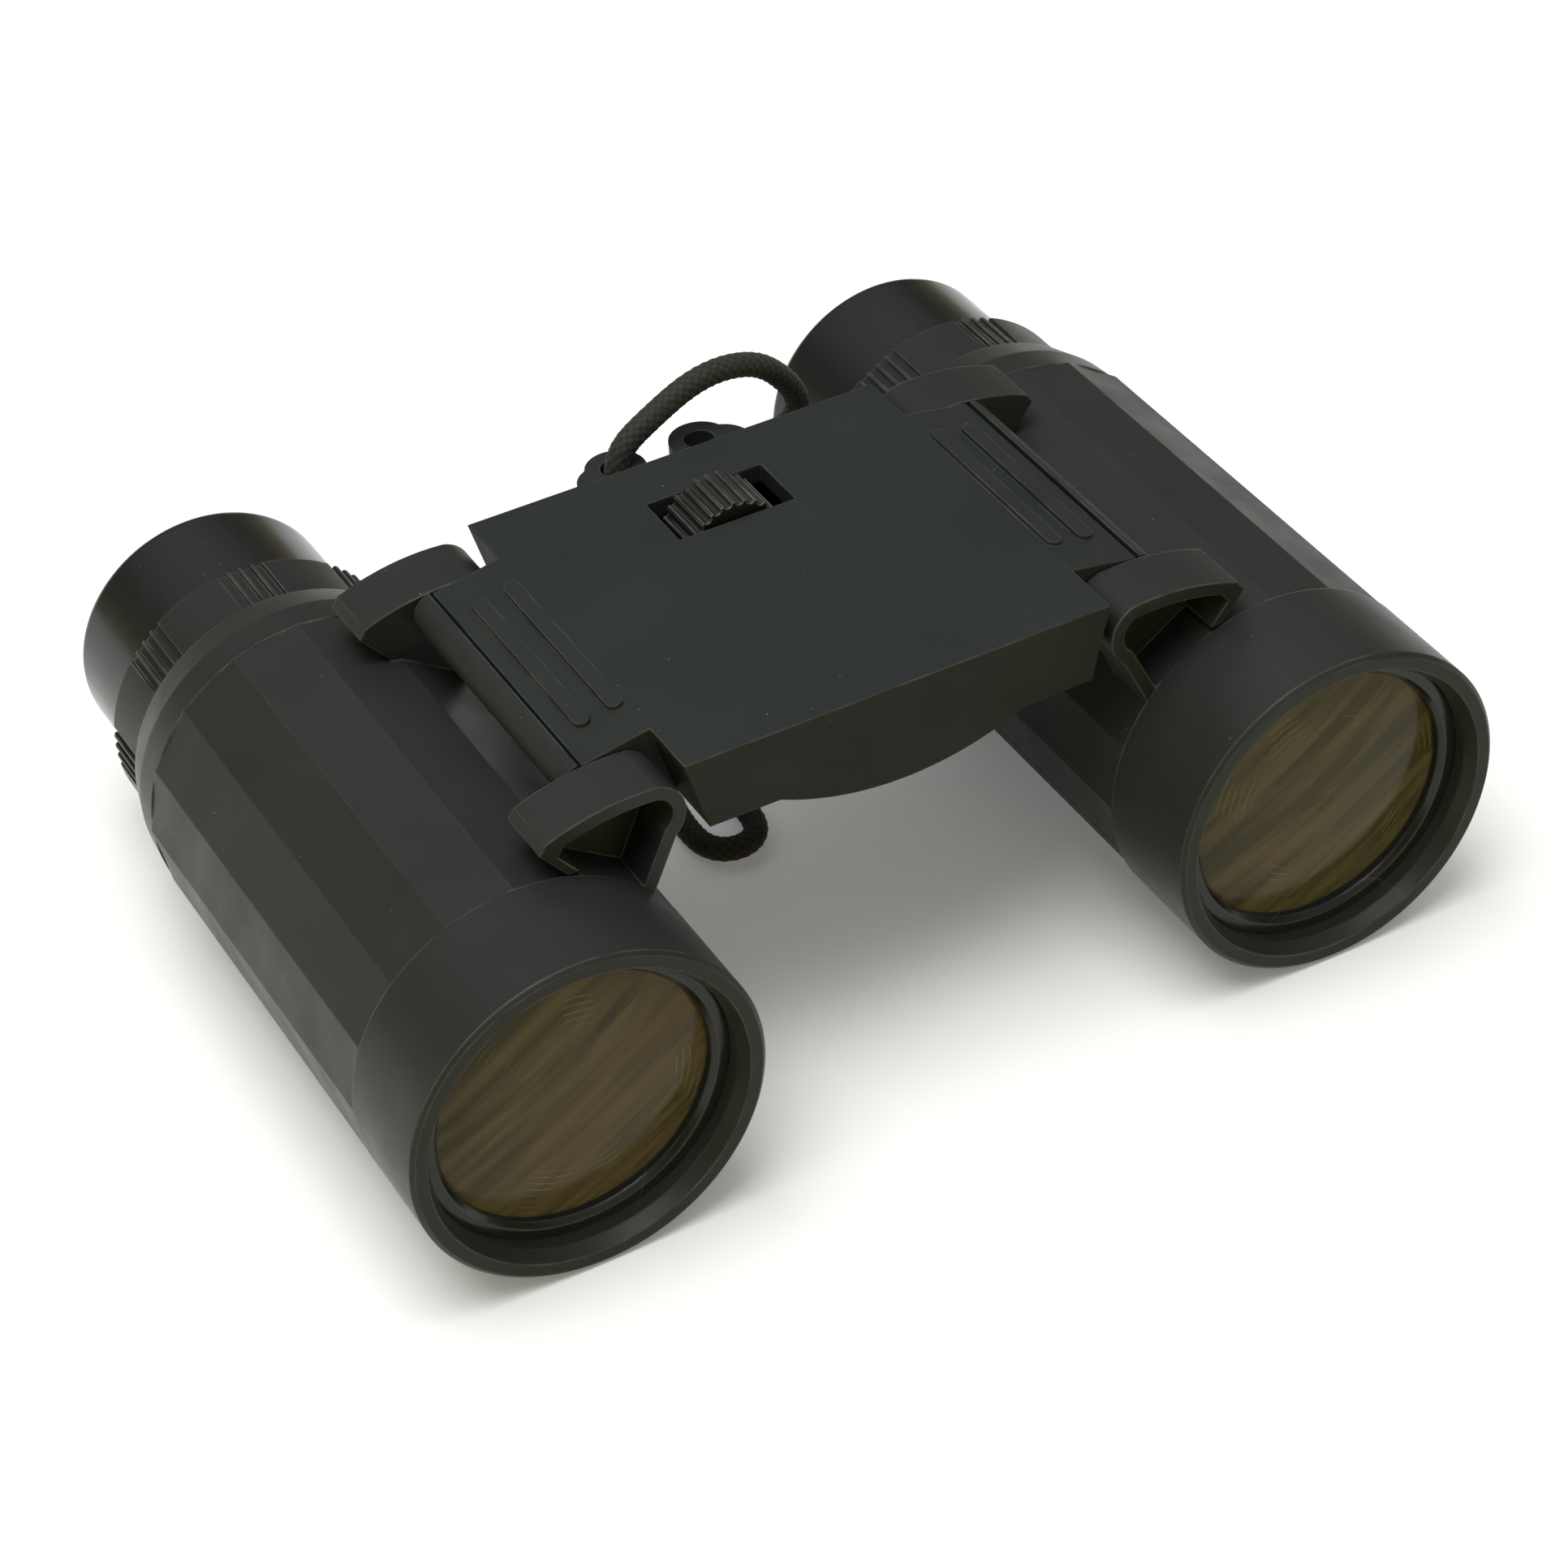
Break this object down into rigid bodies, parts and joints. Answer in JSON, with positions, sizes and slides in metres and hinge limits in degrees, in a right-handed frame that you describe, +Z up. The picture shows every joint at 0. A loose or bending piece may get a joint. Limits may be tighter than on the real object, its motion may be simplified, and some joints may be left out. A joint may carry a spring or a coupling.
{
  "type": "toy binoculars",
  "caption": "Folding toy binoculars with faceted barrels on a flat hinged bridge, a thumb wheel, turning focus rings with sliding eyepieces, and a braided neck cord.",
  "frame": {"origin": "middle of the footprint on the table, below the middle of the object without its cord", "axes": "+X to the right barrel, -Y to the objectives, +Y to the eyepieces, +Z up"},
  "size_m": [0.12, 0.1154, 0.0438],
  "materials": {
    "bridge_black": "fine-textured matte black",
    "barrel_black": "matte black with light wear",
    "gloss_black": "polished black",
    "lens": "clear moulded lens",
    "steel": "plain steel",
    "braid": "black braided cord"
  },
  "bodies": {
    "bridge": {"bridge_top_cover": "bridge_black", "bridge_bottom_cover": "bridge_black", "bridge_screws": "steel", "wheel_axle": "steel", "left_hinge_pin": "steel", "right_hinge_pin": "steel", "strap_knot": "braid", "neck_cord_arch": "braid", "neck_cord_coil": "braid", "neck_cord_return": "braid"},
    "wheel": {"focus_wheel": "gloss_black"},
    "left_barrel": {"left_barrel_shell": "barrel_black", "left_objective_cap": "barrel_black", "left_objective_lens": "lens", "left_objective_retainer": "gloss_black", "left_eyepiece_collar": "barrel_black"},
    "right_barrel": {"right_barrel_shell": "barrel_black", "right_objective_cap": "barrel_black", "right_objective_lens": "lens", "right_objective_retainer": "gloss_black", "right_eyepiece_collar": "barrel_black"},
    "left_ring": {"left_focus_ring": "barrel_black"},
    "right_ring": {"right_focus_ring": "barrel_black"},
    "left_eyepiece": {"left_eyepiece_tube": "barrel_black", "left_eyecup": "gloss_black", "left_eye_lens": "lens", "left_eye_lens_retainer": "gloss_black"},
    "right_eyepiece": {"right_eyepiece_tube": "barrel_black", "right_eyecup": "gloss_black", "right_eye_lens": "lens", "right_eye_lens_retainer": "gloss_black"}
  },
  "joints": [
    {"name": "left_fold", "type": "hinge", "parent": "bridge", "child": "left_barrel", "pos_m": [-0.0249, -0.009, 0.0359], "axis": [0, -1, 0], "range_deg": [0, 50]},
    {"name": "right_fold", "type": "hinge", "parent": "bridge", "child": "right_barrel", "pos_m": [0.0249, -0.009, 0.0359], "axis": [0, 1, 0], "range_deg": [0, 50]},
    {"name": "wheel_spin", "type": "hinge", "parent": "bridge", "child": "wheel", "pos_m": [0, 0.003, 0.03675], "axis": [0, 1, 0], "continuous": true},
    {"name": "left_focus_turn", "type": "hinge", "parent": "left_barrel", "child": "left_ring", "pos_m": [-0.0385, 0.0257, 0.0171], "axis": [0, 1, 0], "range_deg": [0, 270]},
    {"name": "right_focus_turn", "type": "hinge", "parent": "right_barrel", "child": "right_ring", "pos_m": [0.0385, 0.0257, 0.0171], "axis": [0, 1, 0], "range_deg": [0, 270]},
    {"name": "left_eyepiece_slide", "type": "slide", "parent": "left_barrel", "child": "left_eyepiece", "axis": [0, 1, 0], "range_m": [0, 0.004]},
    {"name": "right_eyepiece_slide", "type": "slide", "parent": "right_barrel", "child": "right_eyepiece", "axis": [0, 1, 0], "range_m": [0, 0.004]}
  ],
  "couplings": [
    {"joint": "left_eyepiece_slide", "follows": "left_focus_turn", "m_per_rad": 0.000848},
    {"joint": "right_eyepiece_slide", "follows": "right_focus_turn", "m_per_rad": 0.000848}
  ]
}
